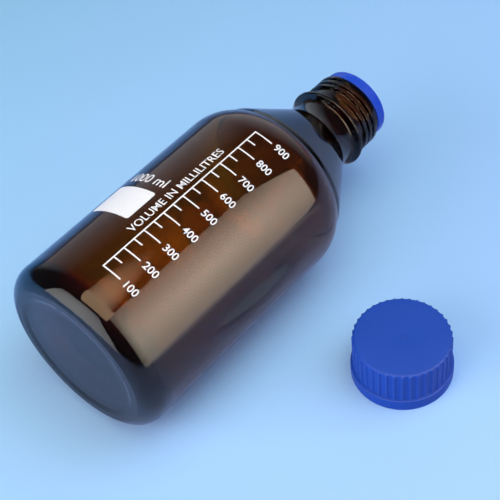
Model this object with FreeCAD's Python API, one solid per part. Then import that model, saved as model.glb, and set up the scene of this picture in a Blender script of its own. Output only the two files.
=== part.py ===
import FreeCAD, Part
import math
import os

# Screw-neck laboratory bottle lying on its side, with its pouring ring on the mouth and its cap set down beside it.
# Millimetres. The origin is the centre of the standing plane, +X runs along the bottle to its mouth, +Z is up.

# Glass body
body_radius = 50.5
body_wall = 2.7
body_length = 137.1
heel_radius = 12.0
heel_facets = 4
standing_ring_width = 1.8
base_thickness = 3.6
base_dish_depth = 1.6
base_dish_run = 4.0
shoulder_radius = 28.0
shoulder_turn_deg = 39.0
shoulder_facets = 3
inner_facets = 2
crease_run = 2.7
crease_drop = 0.75
slope_deg = 34.5

# Glass neck, each length following on from the one before
neck_radius = 20.9
neck_run = 12.0
collar_rise = 3.7
collar_crest_width = 1.8
collar_flank_run = 1.5
collar_to_land = 20.3
land_radius = 19.75
land_length = 4.6
land_step_chamfer = 0.5
rim_chamfer = 0.9
mouth_bore_radius = 15.1

# Pouring ring
ring_rise = 2.2
ring_skirt_wall = 1.2
ring_skirt_clearance = 0.2
ring_skirt_gap = 0.3
ring_edge_chamfer = 0.7
ring_lip_width = 2.45
ring_funnel_depth = 2.2
ring_sleeve_wall = 1.1
ring_sleeve_clearance = 0.2
ring_sleeve_reach = 4.3
ring_seat_clearance = 0.15

# Screw cap, with room for the screw thread between its wall and the neck
cap_height = 27.0
cap_wall = 2.45
cap_top_thickness = 2.2
cap_top_chamfer = 0.8
cap_thread_room = 2.05
cap_mouth_chamfer = 0.8
cap_flange_height = 7.0
cap_flange_overhang = 1.7
cap_flange_chamfer = 0.6
cap_rib_count = 40
cap_rib_height = 0.65
cap_rib_crest_width = 0.8
cap_rib_root_width = 1.9
cap_rib_sink = 0.6
cap_seal_wall = 1.0
cap_seal_depth = 1.9
cap_seal_clearance = 0.3
gate_mark_radius = 0.9
gate_mark_height = 0.45
gate_mark_draft = 0.3

# Where the cap stands beside the bottle
cap_along = 121.2
cap_gap = 33.4

origin = FreeCAD.Vector(0, 0, 0)
axis_x = FreeCAD.Vector(1, 0, 0)
axis_y = FreeCAD.Vector(0, 1, 0)


class Outline:
    """Half section of a turned piece: distance along its axis, then radius."""

    def __init__(self, along, radius):
        self.points = [FreeCAD.Vector(along, 0, radius)]

    def line(self, along, radius):
        self.points.append(FreeCAD.Vector(along, 0, radius))

    def bend(self, centre, size, start_deg, end_deg, count):
        """Short runs round a centre; 0 degrees points away from the axis, 90 along it."""
        for step in range(count + 1):
            self.line(*around(centre, size, start_deg + (end_deg - start_deg) * step / count))

    def turn(self):
        return Part.Face(Part.makePolygon(self.points + self.points[:1])).revolve(origin, axis_x, 360)


def around(centre, size, degrees):
    """Point of the half section at an angle about a centre."""
    angle = math.radians(degrees)
    return centre[0] + size * math.sin(angle), centre[1] + size * math.cos(angle)


def along_slope(start, radius):
    """Where the slope through a point comes down to a radius."""
    return start[0] + (start[1] - radius) / math.tan(math.radians(slope_deg))


standing_radius = body_radius - heel_radius
inner_radius = body_radius - body_wall
shoulder_centre = (body_length, body_radius - shoulder_radius)
crease = around(shoulder_centre, shoulder_radius, shoulder_turn_deg)
slope_start = (crease[0] + crease_run, crease[1] - crease_drop)
inner_slope_start = around(slope_start, -body_wall, slope_deg)
neck_foot = along_slope(slope_start, neck_radius)
collar_along = neck_foot + neck_run
land_start = collar_along + collar_to_land
glass_height = land_start + land_length
ring_top = glass_height + ring_rise
skirt_inside = land_radius + ring_skirt_clearance
skirt_outside = skirt_inside + ring_skirt_wall
sleeve_outside = mouth_bore_radius - ring_sleeve_clearance
sleeve_inside = sleeve_outside - ring_sleeve_wall
funnel_radius = skirt_outside - ring_edge_chamfer - ring_lip_width
cap_inside = neck_radius + cap_thread_room
cap_radius = cap_inside + cap_wall
cap_flange_radius = cap_radius + cap_flange_overhang
cap_ceiling = cap_height - cap_top_thickness
cap_foot = FreeCAD.Vector(cap_along, -body_radius - cap_gap - cap_flange_radius, -body_radius)


def make_bottle():
    dish_edge = standing_radius - standing_ring_width
    outline = Outline(base_dish_depth, 0)
    outline.line(base_dish_depth, dish_edge - base_dish_run)
    outline.line(0, dish_edge)
    outline.bend((heel_radius, standing_radius), heel_radius, -90, 0, heel_facets)
    outline.bend(shoulder_centre, shoulder_radius, 0, shoulder_turn_deg, shoulder_facets)
    outline.line(*slope_start)
    outline.line(neck_foot, neck_radius)
    collar_half = collar_crest_width / 2
    outline.line(collar_along - collar_half - collar_flank_run, neck_radius)
    outline.line(collar_along - collar_half, neck_radius + collar_rise)
    outline.line(collar_along + collar_half, neck_radius + collar_rise)
    outline.line(collar_along + collar_half + collar_flank_run, neck_radius)
    outline.line(land_start - land_step_chamfer, neck_radius)
    outline.line(land_start, neck_radius - land_step_chamfer)
    outline.line(land_start, land_radius)
    outline.line(glass_height - rim_chamfer, land_radius)
    outline.line(glass_height, land_radius - rim_chamfer)
    outline.line(glass_height, mouth_bore_radius + rim_chamfer)
    outline.line(glass_height - rim_chamfer, mouth_bore_radius)

    outline.line(along_slope(inner_slope_start, mouth_bore_radius), mouth_bore_radius)
    inner_turn = shoulder_radius - body_wall
    setback = inner_turn * math.tan(math.radians(slope_deg / 2))
    turn_start = along_slope(inner_slope_start, inner_radius) - setback
    outline.bend((turn_start, inner_radius - inner_turn), inner_turn, slope_deg, 0, inner_facets)
    inner_heel = heel_radius - body_wall
    inner_floor = base_dish_depth + base_thickness
    outline.bend((inner_floor + inner_heel, standing_radius), inner_heel, 0, -90, inner_facets)
    outline.line(inner_floor, 0)
    return outline.turn()


def make_pouring_ring():
    seat = glass_height + ring_seat_clearance
    skirt_end = land_start + ring_skirt_gap
    sleeve_end = glass_height - ring_sleeve_reach
    outline = Outline(skirt_end, skirt_inside)
    outline.line(skirt_end, skirt_outside)
    outline.line(ring_top - ring_edge_chamfer, skirt_outside)
    outline.line(ring_top, skirt_outside - ring_edge_chamfer)
    outline.line(ring_top, funnel_radius)
    outline.line(ring_top - ring_funnel_depth, sleeve_inside)
    outline.line(sleeve_end, sleeve_inside)
    outline.line(sleeve_end, sleeve_outside)
    outline.line(seat, sleeve_outside)
    outline.line(seat, skirt_inside)
    return outline.turn()


def make_cap_shell():
    """Cap without its ribs, turned about +X with its open rim at the origin."""
    lean = (funnel_radius - sleeve_inside) / ring_funnel_depth
    seal_root = funnel_radius - cap_seal_clearance * math.hypot(1, lean)
    seal_tip = seal_root - lean * cap_seal_depth
    outline = Outline(cap_height, 0)
    outline.line(cap_height, cap_radius - cap_top_chamfer)
    outline.line(cap_height - cap_top_chamfer, cap_radius)
    outline.line(cap_flange_height, cap_radius)
    outline.line(cap_flange_height, cap_flange_radius - cap_flange_chamfer)
    outline.line(cap_flange_height - cap_flange_chamfer, cap_flange_radius)
    outline.line(0, cap_flange_radius)
    outline.line(0, cap_inside + cap_mouth_chamfer)
    outline.line(cap_mouth_chamfer, cap_inside)
    outline.line(cap_ceiling, cap_inside)
    outline.line(cap_ceiling, seal_root)
    outline.line(cap_ceiling - cap_seal_depth, seal_tip)
    outline.line(cap_ceiling - cap_seal_depth, seal_tip - cap_seal_wall)
    outline.line(cap_ceiling, seal_root - cap_seal_wall)
    outline.line(cap_ceiling, 0)
    return outline.turn()


def make_cap_ribs():
    """Gripping ribs from inside the flange up to the chamfer of the top edge."""
    low = cap_flange_height - cap_flange_chamfer
    high = cap_height - cap_top_chamfer
    half_root = cap_rib_root_width / 2
    half_crest = cap_rib_crest_width / 2
    corners = ((-half_root, -cap_rib_sink), (-half_root, 0), (-half_crest, cap_rib_height),
               (half_crest, cap_rib_height), (half_root, 0), (half_root, -cap_rib_sink))
    points = [FreeCAD.Vector(low, sideways, cap_radius + lift) for sideways, lift in corners]
    rib = Part.Face(Part.makePolygon(points + points[:1])).extrude(axis_x * (high - low))
    ribs = []
    for index in range(cap_rib_count):
        turned = rib.copy()
        turned.rotate(origin, axis_x, 360 * index / cap_rib_count)
        ribs.append(turned)
    return ribs


def make_screw_cap():
    gate = Part.makeCone(gate_mark_radius, gate_mark_radius - gate_mark_draft, gate_mark_height,
                         FreeCAD.Vector(cap_height, 0, 0), axis_x)
    cap = make_cap_shell().fuse(make_cap_ribs() + [gate]).removeSplitter()
    cap.rotate(origin, axis_y, -90)
    cap.translate(cap_foot)
    return cap


def main():
    pieces = {
        "bottle": make_bottle(),
        "pouring_ring": make_pouring_ring(),
        "screw_cap": make_screw_cap(),
    }
    os.makedirs("parts", exist_ok=True)
    for name, shape in pieces.items():
        shape.exportStep("parts/" + name + ".step")
        print(name, "valid", shape.isValid(), "solids", len(shape.Solids), "volume", round(shape.Volume, 1))
    print("collar at", round(collar_along, 2), "and neck foot at", round(neck_foot, 2))
    print("height to the rim", round(glass_height, 2), "and to the ring's top", round(ring_top, 2))


main()
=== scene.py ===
import math

import bpy
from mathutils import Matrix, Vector


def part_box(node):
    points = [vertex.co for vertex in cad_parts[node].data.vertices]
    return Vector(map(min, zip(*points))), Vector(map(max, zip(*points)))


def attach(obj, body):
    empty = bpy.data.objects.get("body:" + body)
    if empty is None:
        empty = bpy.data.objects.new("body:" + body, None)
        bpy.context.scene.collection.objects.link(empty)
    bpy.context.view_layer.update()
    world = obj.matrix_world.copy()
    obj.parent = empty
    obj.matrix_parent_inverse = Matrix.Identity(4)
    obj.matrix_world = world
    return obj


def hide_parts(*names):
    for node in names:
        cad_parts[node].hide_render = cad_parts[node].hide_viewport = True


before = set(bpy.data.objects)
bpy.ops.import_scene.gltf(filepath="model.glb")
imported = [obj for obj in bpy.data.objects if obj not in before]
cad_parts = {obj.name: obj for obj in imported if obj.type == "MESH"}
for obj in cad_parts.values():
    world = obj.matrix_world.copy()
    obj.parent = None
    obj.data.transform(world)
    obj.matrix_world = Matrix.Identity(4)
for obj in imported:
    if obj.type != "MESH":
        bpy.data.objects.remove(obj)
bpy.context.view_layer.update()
print("frame loaded with", ", ".join(sorted(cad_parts)))

# Lengths are in millimetres, and what the frame fixes is read from it
mm = 0.001
alongX, upZ = Vector((1, 0, 0)), Vector((0, 0, 1))
bottleBox = [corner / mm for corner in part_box("bottle")]
ringBox = [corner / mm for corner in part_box("pouring_ring")]
capBox = [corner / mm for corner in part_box("screw_cap")]
bodyRadius = bottleBox[1].z
glassTop = bottleBox[1].x
surfaceLevel = bottleBox[0].z
bottleLathe = {"foot": Vector(), "axis": alongX, "out": upZ}
capLathe = {"foot": (capBox[0] + capBox[1]) / 2, "axis": upZ, "out": alongX}
capLathe["foot"].z = capBox[0].z

# How finely the turned pieces are drawn
latheSteps = {
    "longRun": 1.6,  # a longer straight run gets a point close to each end
    "endGap": 0.3,
    "wideRounding": 4.0,  # a wider arc is drawn in finer steps
    "wideDegrees": 5,
    "tightDegrees": 12,
    "leastSteps": 3,
    "mergeGap": 0.001,
    "onWall": 0.01,  # a point this close to a wall belongs to it
}


def clearSelection():
    bpy.ops.object.select_all(action="DESELECT")


def pickAlone(piece):
    clearSelection()
    piece.select_set(True)
    bpy.context.view_layer.objects.active = piece


def startSection(name, place):
    # a small plane merged to one point, from which a half section is drawn
    clearSelection()
    bpy.ops.mesh.primitive_plane_add(size=mm)
    piece = bpy.context.object
    piece.name = piece.data.name = name
    bpy.ops.object.mode_set(mode="EDIT")
    bpy.ops.mesh.merge(type="CENTER")
    bpy.ops.transform.translate(value=place * mm)
    return piece


def drawRun(start, end, cuts):
    # the points close to the ends of a long run keep its flat flat when shaded
    way = end - start
    shares = [step / cuts for step in range(1, cuts + 1)]
    if cuts == 1 and way.length > latheSteps["longRun"]:
        endShare = latheSteps["endGap"] / way.length
        shares = [endShare, 1 - endShare, 1]
    done = 0
    for share in shares:
        bpy.ops.mesh.extrude_vertices_move(TRANSFORM_OT_translate={"value": way * (share - done) * mm})
        done = share


def drawSection(name, lathe, corners):
    # corners hold distance along the axis, radius, rounding and cuts of the run that leads there
    spots = [lathe["foot"] + lathe["axis"] * corner[0] + lathe["out"] * corner[1] for corner in corners]
    piece = startSection(name, spots[0])
    here = spots[0]
    for index in range(1, len(corners)):
        spot, rounding, cuts = spots[index], corners[index][2], corners[index][3]
        if not rounding:
            drawRun(here, spot, cuts)
            here = spot
            continue
        arrive = (spot - here).normalized()
        leave = (spots[index + 1] - spot).normalized()
        turn = arrive.angle(leave)
        setback = rounding * math.tan(turn / 2)
        inward = (leave - arrive * arrive.dot(leave)).normalized()
        drawRun(here, spot - arrive * setback, cuts)
        stepDegrees = latheSteps["tightDegrees"]
        if rounding > latheSteps["wideRounding"]:
            stepDegrees = latheSteps["wideDegrees"]
        bpy.ops.mesh.spin(
            steps=max(latheSteps["leastSteps"], round(math.degrees(turn) / stepDegrees)),
            angle=turn,
            center=(spot - arrive * setback + inward * rounding) * mm,
            axis=leave.cross(arrive).normalized(),  # spin turns left-handed
        )
        here = spot + leave * setback
    return piece


def spinSection(piece, lathe, sectors, stepsPerSector):
    # one sector is spun from the section, and its copies close the round
    sector = 2 * math.pi / sectors
    place = {"center": lathe["foot"] * mm, "axis": lathe["axis"]}
    bpy.ops.mesh.select_all(action="SELECT")
    bpy.ops.mesh.spin(steps=stepsPerSector, angle=sector, **place)
    bpy.ops.mesh.select_all(action="SELECT")
    bpy.ops.mesh.spin(dupli=True, steps=sectors - 1, angle=2 * math.pi - sector, **place)
    bpy.ops.mesh.select_all(action="SELECT")
    bpy.ops.mesh.remove_doubles(threshold=latheSteps["mergeGap"] * mm)
    bpy.ops.mesh.normals_make_consistent(inside=False)
    bpy.ops.object.mode_set(mode="OBJECT")


def smoothShade(piece, degrees):
    pickAlone(piece)
    bpy.ops.object.shade_smooth_by_angle(angle=math.radians(degrees))


def easeStep(value):
    value = min(1, max(0, value))
    return value * value * (3 - 2 * value)


def threadStretch(thread, limit):
    # start, end and cuts of the wall that is drawn finely enough to carry the helix
    start = thread["start"] - thread["margin"]
    end = min(limit, thread["start"] + thread["turns"] * thread["pitch"] + thread["margin"])
    return start, end, round((end - start) / thread["ringSpacing"])


def raiseThread(piece, lathe, thread, side):
    # vertices on the wall move out, or in, along a right-handed helix that fades at both ends
    across = lathe["axis"].cross(lathe["out"])
    halfCrest = thread["crestWidth"] / 2
    halfRoot = halfCrest + thread["flankRun"]
    moved = 0
    for vertex in piece.data.vertices:
        place = vertex.co / mm - lathe["foot"]
        along = place.dot(lathe["axis"])
        radial = place - lathe["axis"] * along
        if abs(radial.length - thread["wallRadius"]) > latheSteps["onWall"]:
            continue
        share = (math.atan2(radial.dot(across), radial.dot(lathe["out"])) / (2 * math.pi)) % 1
        best = 0
        for lap in range(-1, math.ceil(thread["turns"]) + 1):
            turned = share + lap
            away = abs(along - thread["start"] - thread["pitch"] * turned)
            rise = min(turned, thread["turns"] - turned) / thread["fadeTurns"]
            best = max(best, easeStep((halfRoot - away) / (halfRoot - halfCrest)) * easeStep(rise))
        if best:
            vertex.co += radial.normalized() * (side * best * thread["depth"] * mm)
            moved += 1
    print("  thread moved", moved, "points of", piece.name)


bottleSizes = {
    "wall": 2.7,
    "straightTo": 137.1,  # where the body starts to turn in
    "shoulderRounding": 28.0,
    "shoulderTurn": math.radians(39),
    "shoulderEase": 0.4,  # taken off that rounding, to leave room for the crease's
    "creaseRun": 2.7,  # from the crease that ends the shoulder to the start of the slope
    "creaseDrop": 0.75,
    "creaseRounding": 0.4,
    "slopeRounding": 7.0,
    "slope": math.radians(34.5),
    "neckRadius": 20.9,
    "neckRun": 12.0,  # from the slope's foot to the collar
    "footRounding": 24.0,
    "innerFootBack": 1.0,  # the bore ends this far before the slope's foot, so the glass is thick there
    "innerFootRounding": 9.0,
    "mouthRadius": 15.1,
    "rimRounding": 1.2,
    "landRadius": 19.75,
    "landLength": 4.6,
    "landStepRounding": 0.5,
    "landRootRounding": 0.3,
    "collarRise": 3.7,
    "collarCrest": 1.8,
    "collarFlank": 1.5,
    "collarRounding": 0.8,
    "heelRounding": 12.0,
    "heelRise": 2.79,  # from the standing plane to where the heel's lines meet
    "innerHeelRounding": 15.0,
    "ringOutside": 41.9,
    "ringOutsideRounding": 0.4,
    "ringInsideRounding": 0.8,
    "standingRing": 4.1,
    "dishRun": 3.2,
    "dishDepth": 0.7,
    "dishRounding": 1.5,
    "baseThickness": 5.6,
    "pushUp": 2.0,
    "pushUpFrom": 0.8,  # share of the dish's flat at which the inner floor starts to rise
    "pushUpRounding": 8.0,
    "floorCuts": 8,
    "sectors": 24,
    "stepsPerSector": 8,
    "smoothUnder": 80,  # degrees
}
neckThread = {
    "wallRadius": bottleSizes["neckRadius"],
    "start": 209.3,
    "turns": 3.05,
    "pitch": 4.0,
    "depth": 1.6,
    "crestWidth": 1.9,
    "flankRun": 0.5,
    "fadeTurns": 0.12,
    "ringSpacing": 0.12,
    "margin": 1.6,
    "landGap": 0.7,
}


def bottleCorners(sizes, thread):
    neck, mouth, wall = sizes["neckRadius"], sizes["mouthRadius"], sizes["wall"]
    rounding, turn = sizes["shoulderRounding"], sizes["shoulderTurn"]
    shoulderAt = sizes["straightTo"] + rounding * math.tan(turn / 2)
    creaseAt = sizes["straightTo"] + rounding * math.sin(turn)
    creaseRadius = bodyRadius - rounding * (1 - math.cos(turn))
    slopeAt, slopeRadius = creaseAt + sizes["creaseRun"], creaseRadius - sizes["creaseDrop"]
    footAt = slopeAt + (slopeRadius - neck) / math.tan(sizes["slope"])
    collarFrom = footAt + sizes["neckRun"] - sizes["collarCrest"] / 2
    collarTo, collarRadius = collarFrom + sizes["collarCrest"], neck + sizes["collarRise"]
    collarRounding = sizes["collarRounding"]
    landAt = glassTop - sizes["landLength"]
    threadFrom, threadTo, threadCuts = threadStretch(thread, landAt - thread["landGap"])
    innerBody = bodyRadius - wall
    innerSlopeAt = slopeAt - wall * math.sin(sizes["slope"])
    innerSlopeRadius = slopeRadius - wall * math.cos(sizes["slope"])
    innerFootAt = footAt - sizes["innerFootBack"]
    innerFall = (innerSlopeRadius - mouth) / (innerFootAt - innerSlopeAt)
    innerShoulderAt = innerSlopeAt - (innerBody - innerSlopeRadius) / innerFall
    dish = sizes["dishDepth"]
    dishEdge = sizes["ringOutside"] - sizes["standingRing"]
    dishFlat = dishEdge - sizes["dishRun"]
    innerFloor = dish + sizes["baseThickness"]
    return [
        (dish, 0, 0, 1),
        (dish, dishFlat, sizes["dishRounding"], sizes["floorCuts"]),
        (0, dishEdge, sizes["ringInsideRounding"], 1),
        (0, sizes["ringOutside"], sizes["ringOutsideRounding"], 1),
        (sizes["heelRise"], bodyRadius, sizes["heelRounding"], 1),
        (shoulderAt, bodyRadius, rounding - sizes["shoulderEase"], 1),
        (creaseAt, creaseRadius, sizes["creaseRounding"], 1),
        (slopeAt, slopeRadius, sizes["slopeRounding"], 1),
        (footAt, neck, sizes["footRounding"], 1),
        (collarFrom - sizes["collarFlank"], neck, collarRounding, 1),
        (collarFrom, collarRadius, collarRounding, 1),
        (collarTo, collarRadius, collarRounding, 1),
        (collarTo + sizes["collarFlank"], neck, collarRounding, 1),
        (threadFrom, neck, 0, 1),
        (threadTo, neck, 0, threadCuts),
        (landAt, neck, sizes["landStepRounding"], 1),
        (landAt, sizes["landRadius"], sizes["landRootRounding"], 1),
        (glassTop, sizes["landRadius"], sizes["rimRounding"], 1),
        (glassTop, mouth, sizes["rimRounding"], 1),
        (innerFootAt, mouth, sizes["innerFootRounding"], 1),
        (innerShoulderAt, innerBody, rounding - wall, 1),
        (innerFloor, innerBody, sizes["innerHeelRounding"], 1),
        (innerFloor, dishFlat * sizes["pushUpFrom"], sizes["pushUpRounding"], 1),
        (innerFloor + sizes["pushUp"], 0, 0, sizes["floorCuts"]),
    ]


def buildBottle():
    glass = drawSection("bottle_glass", bottleLathe, bottleCorners(bottleSizes, neckThread))
    spinSection(glass, bottleLathe, bottleSizes["sectors"], bottleSizes["stepsPerSector"])
    raiseThread(glass, bottleLathe, neckThread, 1)
    smoothShade(glass, bottleSizes["smoothUnder"])
    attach(glass, "bottle")
    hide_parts("bottle")
    print("bottle glass:", len(glass.data.polygons), "faces")
    return glass


pourRingSizes = {
    "skirtInside": 19.95,
    "skirtOutside": 21.15,
    "skirtGap": 0.3,
    "skirtSeam": 1.0,  # the section starts and closes this far above the skirt's end
    "edgeRounding": 1.4,
    "lipWidth": 3.15,
    "lipRounding": 0.5,
    "funnelDepth": 2.2,
    "funnelRounding": 1.2,
    "sleeveInside": 13.8,
    "sleeveOutside": 14.9,
    "endRounding": 0.3,  # at the ends of skirt and sleeve
    "seatGap": 0.15,
    "seatRounding": 0.2,
    "sectors": 24,
    "stepsPerSector": 6,
    "smoothUnder": 50,
}


def buildPourRing():
    sizes = pourRingSizes
    skirtEnd = glassTop - bottleSizes["landLength"] + sizes["skirtGap"]
    skirtSeam = skirtEnd + sizes["skirtSeam"]
    top, sleeveEnd = ringBox[1].x, ringBox[0].x
    funnel = sizes["skirtOutside"] - sizes["lipWidth"]
    seat = glassTop + sizes["seatGap"]
    endRounding, seatRounding = sizes["endRounding"], sizes["seatRounding"]
    corners = [
        (skirtSeam, sizes["skirtInside"], 0, 1),
        (skirtEnd, sizes["skirtInside"], endRounding, 1),
        (skirtEnd, sizes["skirtOutside"], endRounding, 1),
        (top, sizes["skirtOutside"], sizes["edgeRounding"], 1),
        (top, funnel, sizes["lipRounding"], 1),
        (top - sizes["funnelDepth"], sizes["sleeveInside"], sizes["funnelRounding"], 1),
        (sleeveEnd, sizes["sleeveInside"], endRounding, 1),
        (sleeveEnd, sizes["sleeveOutside"], endRounding, 1),
        (seat, sizes["sleeveOutside"], seatRounding, 1),
        (seat, sizes["skirtInside"], seatRounding, 1),
        (skirtSeam, sizes["skirtInside"], 0, 1),
    ]
    ring = drawSection("pour_ring_plastic", bottleLathe, corners)
    spinSection(ring, bottleLathe, sizes["sectors"], sizes["stepsPerSector"])
    smoothShade(ring, sizes["smoothUnder"])
    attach(ring, "pouring_ring")
    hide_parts("pouring_ring")
    print("pouring ring:", len(ring.data.polygons), "faces")
    return ring


capSizes = {
    "radius": 25.4,
    "inside": 22.95,
    "topThickness": 2.2,
    "topRounding": 1.1,
    "topCuts": 6,
    "wallCuts": 6,
    "flangeHeight": 7.0,
    "flangeRadius": 27.1,
    "flangeRounding": 0.9,
    "flangeRootRounding": 0.4,
    "footRounding": 0.35,
    "mouthRise": 0.8,  # of the chamfer that leads the neck in
    "mouthRun": 0.5,
    "ceilingRounding": 0.5,
    "ceilingCuts": 5,
    "smallRounding": 0.3,
    "ribCount": 40,
    "ribHeight": 0.65,
    "ribCrest": 0.6,
    "ribRoot": 1.7,
    "ribFade": 4,  # the higher, the sooner a rib dies away in the top edge's rounding
    "ribLeastEdge": 0.02,  # share of that rounding, nearest the top's flat, that no rib reaches
    "ribAboveFlange": 0.05,
    "ribWithin": 0.3,  # points further outside the wall belong to the flange
    "stepsPerRib": 12,
    "sealOut": 17.6,
    "sealTip": 14.3,
    "sealDepth": 1.9,
    "sealWall": 1.0,
    "gateRadius": 0.9,
    "gateHeight": 0.45,
    "gateTopShare": 0.75,
    "gateTopCuts": 2,
    "gateTopRounding": 0.2,
    "gateRootRounding": 0.15,
    "gateHollow": (2.6, 3.0),  # ends of the hollow's flat and of its slope, in radii of the gate mark
    "gateHollowDepth": 0.05,
    "smoothUnder": 50,
}
capThread = {
    "wallRadius": capSizes["inside"],
    "start": 3.9,
    "turns": 1.6,
    "pitch": 4.0,
    "depth": 1.6,
    "crestWidth": 0.5,
    "flankRun": 0.6,
    "fadeTurns": 0.14,
    "ringSpacing": 0.25,
    "margin": 1.6,
}


def raiseRibs(cap, sizes):
    # the wall between flange and top edge swells to a rib at each pitch, and fades into the edge's rounding
    pitch = 2 * math.pi / sizes["ribCount"]
    halfCrest, halfRoot = sizes["ribCrest"] / 2, sizes["ribRoot"] / 2
    lowest = sizes["flangeHeight"] + sizes["ribAboveFlange"]
    widest = sizes["radius"] + sizes["ribWithin"]
    for vertex in cap.data.vertices:
        place = vertex.co / mm - capLathe["foot"]
        radial = Vector((place.x, place.y, 0))
        edge = (radial.length - sizes["radius"] + sizes["topRounding"]) / sizes["topRounding"]
        if edge <= sizes["ribLeastEdge"] or place.z < lowest or radial.length > widest:
            continue
        turned = math.atan2(place.y, place.x) / pitch
        away = abs(turned - round(turned)) * pitch * sizes["radius"]
        rise = easeStep((halfRoot - away) / (halfRoot - halfCrest)) * min(1, edge) ** sizes["ribFade"]
        vertex.co += radial.normalized() * (sizes["ribHeight"] * rise * mm)


def capCorners(sizes, thread):
    gate, gateTop = sizes["gateRadius"], capBox[1].z - capBox[0].z
    top = gateTop - sizes["gateHeight"]
    hollowFloor = top - sizes["gateHollowDepth"]
    hollowFlat, hollowEdge = [gate * share for share in sizes["gateHollow"]]
    ceiling = top - sizes["topThickness"]
    sealEnd = ceiling - sizes["sealDepth"]
    threadFrom, threadTo, threadCuts = threadStretch(thread, ceiling)
    small = sizes["smallRounding"]
    return [
        (gateTop, 0, 0, 1),
        (gateTop, gate * sizes["gateTopShare"], sizes["gateTopRounding"], sizes["gateTopCuts"]),
        (hollowFloor, gate, sizes["gateRootRounding"], 1),
        (hollowFloor, hollowFlat, small, 1),
        (top, hollowEdge, small, 1),
        (top, sizes["radius"], sizes["topRounding"], sizes["topCuts"]),
        (sizes["flangeHeight"], sizes["radius"], sizes["flangeRootRounding"], sizes["wallCuts"]),
        (sizes["flangeHeight"], sizes["flangeRadius"], sizes["flangeRounding"], 1),
        (0, sizes["flangeRadius"], sizes["footRounding"], 1),
        (0, sizes["inside"] + sizes["mouthRun"], small, 1),
        (sizes["mouthRise"], sizes["inside"], small, 1),
        (threadFrom, sizes["inside"], 0, 1),
        (threadTo, sizes["inside"], 0, threadCuts),
        (ceiling, sizes["inside"], sizes["ceilingRounding"], 1),
        (ceiling, sizes["sealOut"], small, 1),
        (sealEnd, sizes["sealTip"], small, 1),
        (sealEnd, sizes["sealTip"] - sizes["sealWall"], small, 1),
        (ceiling, sizes["sealOut"] - sizes["sealWall"], small, 1),
        (ceiling, 0, 0, sizes["ceilingCuts"]),
    ]


def buildCap():
    cap = drawSection("ribbed_cap", capLathe, capCorners(capSizes, capThread))
    spinSection(cap, capLathe, capSizes["ribCount"], capSizes["stepsPerRib"])
    raiseThread(cap, capLathe, capThread, -1)
    raiseRibs(cap, capSizes)
    smoothShade(cap, capSizes["smoothUnder"])
    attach(cap, "screw_cap")
    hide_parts("screw_cap")
    print("cap:", len(cap.data.polygons), "faces")
    return cap


def newMaterial(name):
    material = bpy.data.materials.new(name)
    material.use_nodes = True
    return material, material.node_tree.nodes, material.node_tree.links


def dress(piece, material):
    piece.data.materials.clear()
    piece.data.materials.append(material)


def addNoise(nodes, links, scale, detail):
    place = nodes.new("ShaderNodeTexCoord")
    noise = nodes.new("ShaderNodeTexNoise")
    noise.inputs["Scale"].default_value = scale
    noise.inputs["Detail"].default_value = detail
    links.new(place.outputs["Object"], noise.inputs["Vector"])
    return noise.outputs["Fac"]


def addRamp(nodes, links, source, low, high):
    ramp = nodes.new("ShaderNodeMapRange")
    ramp.inputs["To Min"].default_value = low
    ramp.inputs["To Max"].default_value = high
    links.new(source, ramp.inputs["Value"])
    return ramp.outputs["Result"]


def addTint(nodes, links, share, first, second):
    tint = nodes.new("ShaderNodeMix")
    tint.data_type = "RGBA"
    tint.inputs["A"].default_value = (*first, 1)
    tint.inputs["B"].default_value = (*second, 1)
    links.new(share, tint.inputs["Factor"])
    return tint.outputs["Result"]


def addSlope(nodes, links, place, way, span):
    # rises from 0 to 1 along a direction
    along = nodes.new("ShaderNodeVectorMath")
    along.operation = "DOT_PRODUCT"
    along.inputs[1].default_value = way
    links.new(place, along.inputs[0])
    share = nodes.new("ShaderNodeMapRange")
    share.inputs["From Min"].default_value, share.inputs["From Max"].default_value = span
    links.new(along.outputs["Value"], share.inputs["Value"])
    return share.outputs["Result"]


def addBump(nodes, links, height, strength, distance, shader):
    bump = nodes.new("ShaderNodeBump")
    bump.inputs["Strength"].default_value = strength
    bump.inputs["Distance"].default_value = distance * mm
    links.new(height, bump.inputs["Height"])
    links.new(bump.outputs["Normal"], shader.inputs["Normal"])


# A pattern's scale and the glass's density count per metre
amberGlassLook = {
    "ior": 1.48,
    "density": 1500,
    "passes": (0.805, 0.615, 0.033),  # share of red, green and blue that the glass lets by
    "smearScale": 60,
    "smearDetail": 3,
    "smearRoughness": (0.0, 0.007),
    "waveScale": 28,
    "waveDetail": 1,
    "waveHeight": 0.04,
}


def amberGlass():
    look = amberGlassLook
    material, nodes, links = newMaterial("amberGlass")
    shader = nodes["Principled BSDF"]
    shader.inputs["Base Color"].default_value = (1, 1, 1, 1)
    shader.inputs["Transmission Weight"].default_value = 1
    shader.inputs["IOR"].default_value = look["ior"]
    smear = addNoise(nodes, links, look["smearScale"], look["smearDetail"])
    links.new(addRamp(nodes, links, smear, *look["smearRoughness"]), shader.inputs["Roughness"])
    wave = addNoise(nodes, links, look["waveScale"], look["waveDetail"])
    addBump(nodes, links, wave, 1, look["waveHeight"], shader)
    inside = nodes.new("ShaderNodeVolumeAbsorption")
    inside.inputs["Color"].default_value = (*look["passes"], 1)
    inside.inputs["Density"].default_value = look["density"]
    links.new(inside.outputs["Volume"], nodes["Material Output"].inputs["Volume"])
    return material


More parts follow.
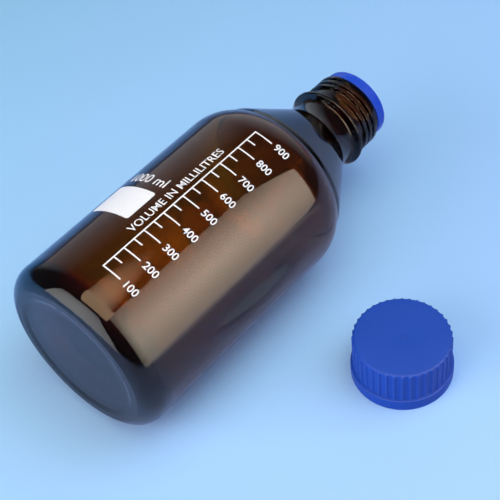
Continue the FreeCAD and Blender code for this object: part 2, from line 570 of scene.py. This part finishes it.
plasticLook = {
    "ior": 1.45,
    "specular": 0.26,
    "cloudScale": 45,
    "cloudDetail": 4,
    "grainScale": 1800,
    "grainDetail": 2,
    "grainStrength": 0.6,
}
ringPlasticLook = {
    "dark": (0.012, 0.062, 0.53),
    "light": (0.018, 0.077, 0.60),
    "roughness": (0.22, 0.32),
    "grainHeight": 0.004,
}
capPlasticLook = {
    "dark": (0.004, 0.055, 0.385),
    "light": (0.006, 0.064, 0.43),
    "roughness": (0.4, 0.55),
    "grainHeight": 0.012,
}


def bluePlastic(name, look):
    material, nodes, links = newMaterial(name)
    shader = nodes["Principled BSDF"]
    cloud = addNoise(nodes, links, plasticLook["cloudScale"], plasticLook["cloudDetail"])
    links.new(addTint(nodes, links, cloud, look["dark"], look["light"]), shader.inputs["Base Color"])
    links.new(addRamp(nodes, links, cloud, *look["roughness"]), shader.inputs["Roughness"])
    grain = addNoise(nodes, links, plasticLook["grainScale"], plasticLook["grainDetail"])
    addBump(nodes, links, grain, plasticLook["grainStrength"], look["grainHeight"], shader)
    shader.inputs["IOR"].default_value = plasticLook["ior"]
    shader.inputs["Specular IOR Level"].default_value = plasticLook["specular"]
    return material


enamelLook = {
    "dark": (0.78, 0.79, 0.82),
    "light": (0.90, 0.91, 0.93),
    "roughness": (0.35, 0.55),
    "speckScale": 900,
    "speckDetail": 3,
    "speckStrength": 0.4,
    "speckHeight": 0.02,
}


def whiteEnamel():
    look = enamelLook
    material, nodes, links = newMaterial("whiteEnamel")
    shader = nodes["Principled BSDF"]
    speck = addNoise(nodes, links, look["speckScale"], look["speckDetail"])
    links.new(addTint(nodes, links, speck, look["dark"], look["light"]), shader.inputs["Base Color"])
    links.new(addRamp(nodes, links, speck, *look["roughness"]), shader.inputs["Roughness"])
    addBump(nodes, links, speck, look["speckStrength"], look["speckHeight"], shader)
    return material


# The scale is fired on the glass
# Along is mm from the standing plane, and across is mm round the body from its top line
printSizes = {
    "lift": 0.03,  # above the glass
    "sink": 0.03,  # and below its surface
    "firstAt": 26.1,
    "step": 14.0,
    "count": 9,
    "firstNumber": 100,  # and the step from one number to the next
    "spineAcross": -6.0,
    "lineWidth": 0.8,
    "longTick": 11.0,
    "shortTick": 5.6,
    "numberSize": 6.0,
    "numberGap": 2.2,
    "numberWeight": 0.10,
    "caption": "VOLUME IN MILLILITRES",
    "captionSize": 6.4,
    "captionAcross": -0.9,
    "captionFrom": 48.8,
    "captionTo": 118.6,
    "capacity": "1000 ml",
    "capacitySize": 9.0,
    "capacityAt": 83.0,
    "capacityAcross": 20.0,
    "wordWeight": 0.06,
    "curveSteps": 4,
    "fieldFrom": 54.6,
    "fieldTo": 75.4,
    "fieldAcross": (5.8, 36.5),
    "fieldRounding": 1.6,
    "fieldSegments": 6,
    "cutSpacing": 0.7,
}
quarterTurn = math.pi / 2


def wrapPrint(piece, enamel):
    # flat print, x along the bottle and y across, is cut into strips, thickened and laid round the body
    sizes = printSizes
    pickAlone(piece)
    bpy.ops.object.transform_apply(location=True, rotation=True, scale=True)
    acrossAll = [vertex.co.y / mm for vertex in piece.data.vertices]
    bpy.ops.object.mode_set(mode="EDIT")
    cut = math.floor(min(acrossAll) / sizes["cutSpacing"]) + 1
    while cut * sizes["cutSpacing"] < max(acrossAll):
        bpy.ops.mesh.select_all(action="SELECT")
        bpy.ops.mesh.bisect(plane_co=(0, cut * sizes["cutSpacing"] * mm, 0), plane_no=(0, 1, 0))
        cut += 1
    thickness = (sizes["lift"] + sizes["sink"]) * mm
    bpy.ops.mesh.select_all(action="SELECT")
    bpy.ops.mesh.extrude_region_move(TRANSFORM_OT_translate={"value": (0, 0, thickness)})
    bpy.ops.mesh.select_all(action="SELECT")
    bpy.ops.mesh.normals_make_consistent(inside=False)
    bpy.ops.object.mode_set(mode="OBJECT")
    for vertex in piece.data.vertices:
        angle = quarterTurn - vertex.co.y / mm / bodyRadius
        radius = (bodyRadius - sizes["sink"]) * mm + vertex.co.z
        vertex.co = Vector((vertex.co.x, radius * math.cos(angle), radius * math.sin(angle)))
    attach(piece, "bottle")
    dress(piece, enamel)


def addBar(fromX, toX, fromY, toY):
    clearSelection()
    middle = ((fromX + toX) / 2 * mm, (fromY + toY) / 2 * mm, 0)
    bpy.ops.mesh.primitive_plane_add(size=1, location=middle)
    bar = bpy.context.object
    bar.scale = ((toX - fromX) * mm, (toY - fromY) * mm, 1)
    bpy.ops.object.transform_apply(location=True, rotation=True, scale=True)
    return bar


def addWords(words, size, along, across, turned, align, weight):
    clearSelection()
    bpy.ops.object.text_add(location=(along * mm, across * mm, 0), rotation=(0, 0, turned))
    text = bpy.context.object
    text.data.body = words
    text.data.size = size * mm
    text.data.offset = weight * mm
    text.data.align_x = align
    text.data.align_y = "CENTER"
    text.data.resolution_u = printSizes["curveSteps"]
    bpy.ops.object.convert(target="MESH")
    return bpy.context.object


def joinPrint(name, flats, enamel):
    clearSelection()
    for flat in flats:
        flat.select_set(True)
    bpy.context.view_layer.objects.active = flats[0]
    if len(flats) > 1:
        bpy.ops.object.join()
    piece = bpy.context.object
    piece.name = piece.data.name = name
    wrapPrint(piece, enamel)


def buildScale(enamel):
    sizes = printSizes
    half = sizes["lineWidth"] / 2
    lastAt = sizes["firstAt"] + sizes["step"] * (sizes["count"] - 1)
    spine = sizes["spineAcross"]
    numberStart = spine - sizes["longTick"] - sizes["numberGap"]
    bars = [addBar(sizes["firstAt"] - half, lastAt + half, spine - half, spine + half)]
    numbers = []
    for index in range(2 * sizes["count"] - 1):
        at = sizes["firstAt"] + index * sizes["step"] / 2
        reach = sizes["shortTick"] if index % 2 else sizes["longTick"]
        bars.append(addBar(at - half, at + half, spine - reach, spine - half))
        if index % 2 == 0:
            number = addWords(
                str(sizes["firstNumber"] * (index // 2 + 1)), sizes["numberSize"], at, numberStart,
                -quarterTurn, "LEFT", sizes["numberWeight"],
            )
            numbers.append(number)
    joinPrint("scale_lines", bars, enamel)
    joinPrint("scale_numbers", numbers, enamel)


def buildWords(enamel):
    sizes = printSizes
    middle = (sizes["captionFrom"] + sizes["captionTo"]) / 2
    caption = addWords(
        sizes["caption"], sizes["captionSize"], middle, sizes["captionAcross"],
        0, "CENTER", sizes["wordWeight"],
    )
    joinPrint("scale_caption", [caption], enamel)
    capacity = addWords(
        sizes["capacity"], sizes["capacitySize"], sizes["capacityAt"], sizes["capacityAcross"],
        -quarterTurn, "CENTER", sizes["wordWeight"],
    )
    joinPrint("capacity_mark", [capacity], enamel)


def buildField(enamel):
    sizes = printSizes
    field = addBar(sizes["fieldFrom"], sizes["fieldTo"], *sizes["fieldAcross"])
    bpy.ops.object.mode_set(mode="EDIT")
    bpy.ops.mesh.select_all(action="SELECT")
    bpy.ops.mesh.bevel(
        offset=sizes["fieldRounding"] * mm, affect="VERTICES", segments=sizes["fieldSegments"],
    )
    bpy.ops.object.mode_set(mode="OBJECT")
    joinPrint("marking_field", [field], enamel)


bottleGlass = buildBottle()
pourRing = buildPourRing()
ribbedCap = buildCap()
dress(bottleGlass, amberGlass())
dress(pourRing, bluePlastic("glossRingPlastic", ringPlasticLook))
dress(ribbedCap, bluePlastic("satinCapPlastic", capPlasticLook))
enamelCoat = whiteEnamel()
buildScale(enamelCoat)
buildWords(enamelCoat)
buildField(enamelCoat)
print("print laid on the glass")

floorLook = {
    "size": 8000,
    "gap": 0.05,
    # far and near are a painted falloff of light: the floor is darker far off and lighter near
    "far": (0.28, 0.555, 0.815),
    "near": (0.370, 0.612, 0.98),
    "farInGlass": (0.154, 0.455, 0.978),  # painted shade: a deeper, bluer floor that shows in reflections alone
    "nearInGlass": (0.389, 0.477, 0.784),
    "way": (0.259, -0.966, 0),  # from far to near
    "span": (-250, 200),
    "roughness": 0.7,
    "specular": 0.2,
}


def buildFloor():
    look = floorLook
    clearSelection()
    level = (surfaceLevel - look["gap"]) * mm
    bpy.ops.mesh.primitive_plane_add(size=look["size"] * mm, location=(0, 0, level))
    floor = bpy.context.object
    floor.name = "studio_floor"
    material, nodes, links = newMaterial("paleBlueBoard")
    shader = nodes["Principled BSDF"]
    place = nodes.new("ShaderNodeTexCoord")
    span = [end * mm for end in look["span"]]
    share = addSlope(nodes, links, place.outputs["Object"], look["way"], span)
    # reflections see the floor in its painted shade colours instead of its own
    path = nodes.new("ShaderNodeLightPath")
    board = nodes.new("ShaderNodeMix")
    board.data_type = "RGBA"
    links.new(path.outputs["Is Glossy Ray"], board.inputs["Factor"])
    links.new(addTint(nodes, links, share, look["far"], look["near"]), board.inputs["A"])
    links.new(addTint(nodes, links, share, look["farInGlass"], look["nearInGlass"]), board.inputs["B"])
    links.new(board.outputs["Result"], shader.inputs["Base Color"])
    shader.inputs["Roughness"].default_value = look["roughness"]
    shader.inputs["Specular IOR Level"].default_value = look["specular"]
    dress(floor, material)


# The glass doesn't mirror the loose cap
# This glowing card, seen in reflections alone, is painted lit floor that hides the dark floor under the cap
capCardLook = {"radius": 28.0, "sides": 48, "drop": 0.02, "color": (0.30, 0.53, 0.88)}


def buildCapCard():
    look = capCardLook
    clearSelection()
    foot = (capLathe["foot"] - upZ * look["drop"]) * mm
    bpy.ops.mesh.primitive_circle_add(
        vertices=look["sides"], radius=look["radius"] * mm, fill_type="NGON", location=foot,
    )
    card = bpy.context.object
    card.name = "cap_card"
    material, nodes = newMaterial("glowingFloorCard")[:2]
    shader = nodes["Principled BSDF"]
    shader.inputs["Base Color"].default_value = (0, 0, 0, 1)
    # the card's glow is painted light: a lit floor where there is only the cap's shadow
    shader.inputs["Emission Color"].default_value = (*look["color"], 1)
    shader.inputs["Emission Strength"].default_value = 1
    dress(card, material)
    card.visible_camera = card.visible_diffuse = card.visible_transmission = card.visible_shadow = False
    ribbedCap.visible_glossy = False


# Area lamps, full as far as fadeFrom from the hot spot and down to the share fadeTo at fadeOver
# Those marked onFloor light floor and plastic, and those marked inGlass show in reflections
lampSetup = {
    "sideBox": {
        "at": (172, -471, 295), "to": (172, -13, 95), "size": (600, 753),
        "glow": 6.5, "tint": (1.09, 0.97, 0.78), "onFloor": False, "inGlass": True,
        "hotSpot": (300, -487, 258), "fadeFrom": 0, "fadeOver": 430, "fadeTo": 0.25,
    },
    "tableGlow": {  # what the table throws back from the side box
        "at": (272, -465, -49), "to": (272, -465, 100), "size": (230, 270),
        "glow": 1.9, "tint": (1.12, 0.96, 0.76), "onFloor": False, "inGlass": True,
        "hotSpot": (272, -3000, -49), "fadeFrom": 2400, "fadeOver": 2670, "fadeTo": 0.05,
    },
    "leftBox": {
        "at": (-700, 275, 425), "to": (0, 275, 425), "size": (1060, 950),
        "glow": 5.0, "tint": (1.10, 0.93, 1.0), "onFloor": True, "inGlass": False,
        "hotSpot": (-700, 275, 300), "fadeFrom": 0, "fadeOver": 680, "fadeTo": 0.5,
    },
    "leftCard": {
        "at": (-705, 275, 425), "to": (0, 275, 425), "size": (1060, 950),
        "glow": 3.8, "tint": (0.98, 1.0, 1.02), "onFloor": False, "inGlass": True,
        "hotSpot": (-705, 275, 300), "fadeFrom": 0, "fadeOver": 680, "fadeTo": 0.5,
    },
    "topBox": {
        "at": (-90, -190, 1200), "to": (-90, -190, 0), "size": (1205, 893),
        "glow": 2.8, "tint": (1.01, 1.07, 0.80), "onFloor": True, "inGlass": False,
        "hotSpot": (-90, -400, 1200), "fadeFrom": 0, "fadeOver": 900, "fadeTo": 0.5,
    },
    "topCard": {
        "at": (-46, -190, 1205), "to": (-46, -190, 0), "size": (1292, 893),
        "glow": 3.1, "tint": (1.45, 1.0, 0.60), "onFloor": False, "inGlass": True,
        "hotSpot": (-700, -150, 1205), "fadeFrom": 1150, "fadeOver": 1270, "fadeTo": 0.0,
    },
    "fillBox": {
        "at": (700, -700, 1100), "to": (250, -60, -50), "size": (1400, 1400),
        "glow": 1.95, "tint": (0.86, 0.95, 1.19), "onFloor": True, "inGlass": False,
        "hotSpot": (700, -700, 1100), "fadeFrom": 0, "fadeOver": 1400, "fadeTo": 1.0,
    },
    "glowBehind": {  # the light that the bottle bundles on the floor behind it
        "at": (108, 60, -30), "to": (108, 60, -50), "size": (34, 18),
        "glow": 2.6, "tint": (1.2, 0.95, 0.6), "onFloor": True, "inGlass": False,
        "hotSpot": (108, 60, -30), "fadeFrom": 0, "fadeOver": 20, "fadeTo": 0.6,
    },
}


def fadeLamp(lamp, setup):
    lamp.data.use_nodes = True
    nodes, links = lamp.data.node_tree.nodes, lamp.data.node_tree.links
    place = nodes.new("ShaderNodeNewGeometry")
    away = nodes.new("ShaderNodeVectorMath")
    away.operation = "DISTANCE"
    away.inputs[1].default_value = Vector(setup["hotSpot"]) * mm
    links.new(place.outputs["Position"], away.inputs[0])
    fade = nodes.new("ShaderNodeMapRange")
    fade.inputs["From Min"].default_value = setup["fadeFrom"] * mm
    fade.inputs["From Max"].default_value = setup["fadeOver"] * mm
    fade.inputs["To Min"].default_value = 1
    fade.inputs["To Max"].default_value = setup["fadeTo"]
    links.new(away.outputs["Value"], fade.inputs["Value"])
    links.new(fade.outputs["Result"], nodes["Emission"].inputs["Strength"])


def buildLamps():
    for name, setup in lampSetup.items():
        at, to = Vector(setup["at"]), Vector(setup["to"])
        bpy.ops.object.light_add(type="AREA", location=at * mm)
        lamp = bpy.context.object
        lamp.name = name
        lamp.rotation_euler = (to - at).to_track_quat("-Z", "Y").to_euler()
        lamp.data.shape = "RECTANGLE"
        lamp.data.size, lamp.data.size_y = setup["size"][0] * mm, setup["size"][1] * mm
        lamp.data.energy = setup["glow"] * math.pi * lamp.data.size * lamp.data.size_y
        lamp.data.color = setup["tint"]
        lamp.visible_camera = False
        lamp.visible_diffuse = setup["onFloor"]
        lamp.visible_glossy = setup["inGlass"]
        fadeLamp(lamp, setup)


# A dark room with a pale wall past the mouth and the far side of the bottle
roomLook = {
    "dark": (0.06, 0.065, 0.08),
    "wall": (0.75, 0.87, 1.0),
    "wallSide": (0.836, 0.543, -0.087),
    "spread": (0.58, 0.95),
}


def buildWorld():
    look = roomLook
    world = bpy.data.worlds.new("studioRoom")
    bpy.context.scene.world = world
    world.use_nodes = True
    nodes, links = world.node_tree.nodes, world.node_tree.links
    place = nodes.new("ShaderNodeTexCoord")
    share = addSlope(nodes, links, place.outputs["Generated"], look["wallSide"], look["spread"])
    links.new(addTint(nodes, links, share, look["dark"], look["wall"]), nodes["Background"].inputs["Color"])


cameraSetup = {
    "at": (-193.0, -334.0, 485.1),
    "to": (136.6, 8.1, -50.5),
    "roll": -7.59,  # degrees
    "lens": 88.66,
    "sensor": 36,
    "clip": (10, 50000),
}


def buildCamera():
    setup = cameraSetup
    at, to = Vector(setup["at"]), Vector(setup["to"])
    bpy.ops.object.camera_add(location=at * mm)
    camera = bpy.context.object
    camera.rotation_euler = (to - at).to_track_quat("-Z", "Y").to_euler()
    camera.rotation_euler.rotate_axis("Z", math.radians(setup["roll"]))
    camera.data.lens = setup["lens"]
    camera.data.sensor_width = setup["sensor"]
    camera.data.clip_start, camera.data.clip_end = [distance * mm for distance in setup["clip"]]
    bpy.context.scene.camera = camera


buildFloor()
buildCapCard()
buildLamps()
buildWorld()
buildCamera()
print("studio set up with", len(lampSetup), "lamps")
bpy.context.scene.view_settings.view_transform = "Standard"
